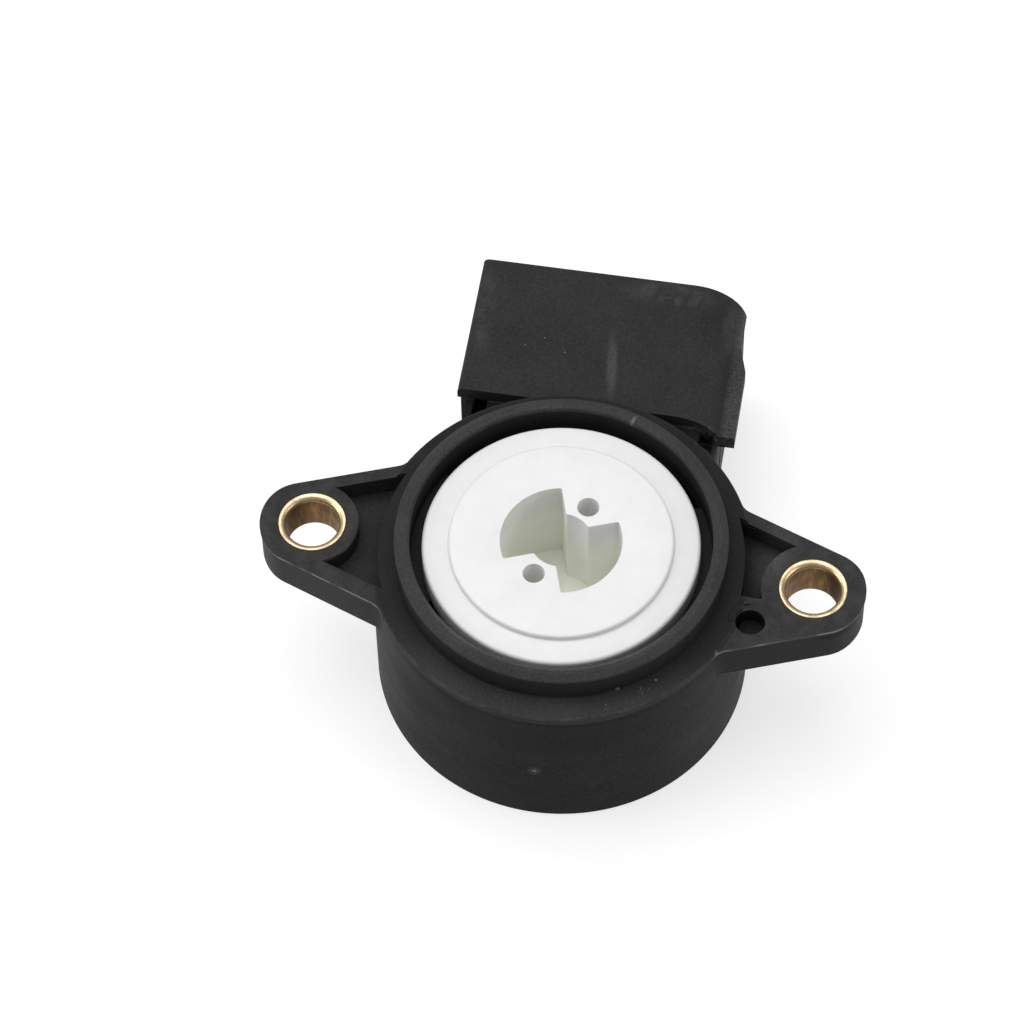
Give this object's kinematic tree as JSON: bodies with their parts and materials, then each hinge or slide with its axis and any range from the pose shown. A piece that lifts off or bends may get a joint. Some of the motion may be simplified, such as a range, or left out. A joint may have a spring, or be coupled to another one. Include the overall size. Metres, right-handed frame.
{
  "type": "throttle position sensor",
  "caption": "Round black sensor body with two bushed lugs, a locating spigot, a side plug socket and a white sprung rotor with a keyed drive socket.",
  "frame": {"origin": "on the rotor's axis, in the flange face that sits on the throttle body, at the foot of the spigot", "axes": "+Z along the rotor's axis, out of the flange face; +X along the line of the two mounting holes; +Y towards the plug socket's mouth"},
  "size_m": [0.0666, 0.0587, 0.0248],
  "materials": {
    "body_plastic": "satin black glass-filled plastic",
    "cover_plastic": "matt black plastic",
    "bush_brass": "turned",
    "rotor_plastic": "smooth white",
    "carrier_plastic": "moulded",
    "spring_steel": "drawn wire",
    "spring_bronze": "rolled strip",
    "board": "fired ceramic",
    "carbon_film": "printed",
    "silver_film": "printed",
    "tinned_brass": "tinned",
    "solder": "bright",
    "sealant": "cured bead"
  },
  "bodies": {
    "sensor_body": {"housing": "body_plastic", "left_bush": "bush_brass", "right_bush": "bush_brass", "return_spring": "spring_steel", "wave_washer": "spring_steel", "resistor_board": "board", "resistive_track": "carbon_film", "collector_track": "silver_film", "idle_track": "silver_film", "terminal_1": "tinned_brass", "terminal_2": "tinned_brass", "terminal_3": "tinned_brass", "terminal_4": "tinned_brass", "solder_joints": "solder", "back_cover": "cover_plastic", "sealing_bead": "sealant"},
    "rotor": {"rotor": "rotor_plastic", "retaining_ring": "spring_steel", "wiper_carrier": "carrier_plastic", "signal_wiper": "spring_bronze", "idle_wiper": "spring_bronze"}
  },
  "joints": [
    {"name": "rotor_turn", "type": "hinge", "parent": "sensor_body", "child": "rotor", "pos_m": [0, 0, 0], "axis": [0, 0, 1], "range_deg": [0, 100], "stiffness_Nm_per_rad": 0.02, "springref_deg": -28.65}
  ]
}
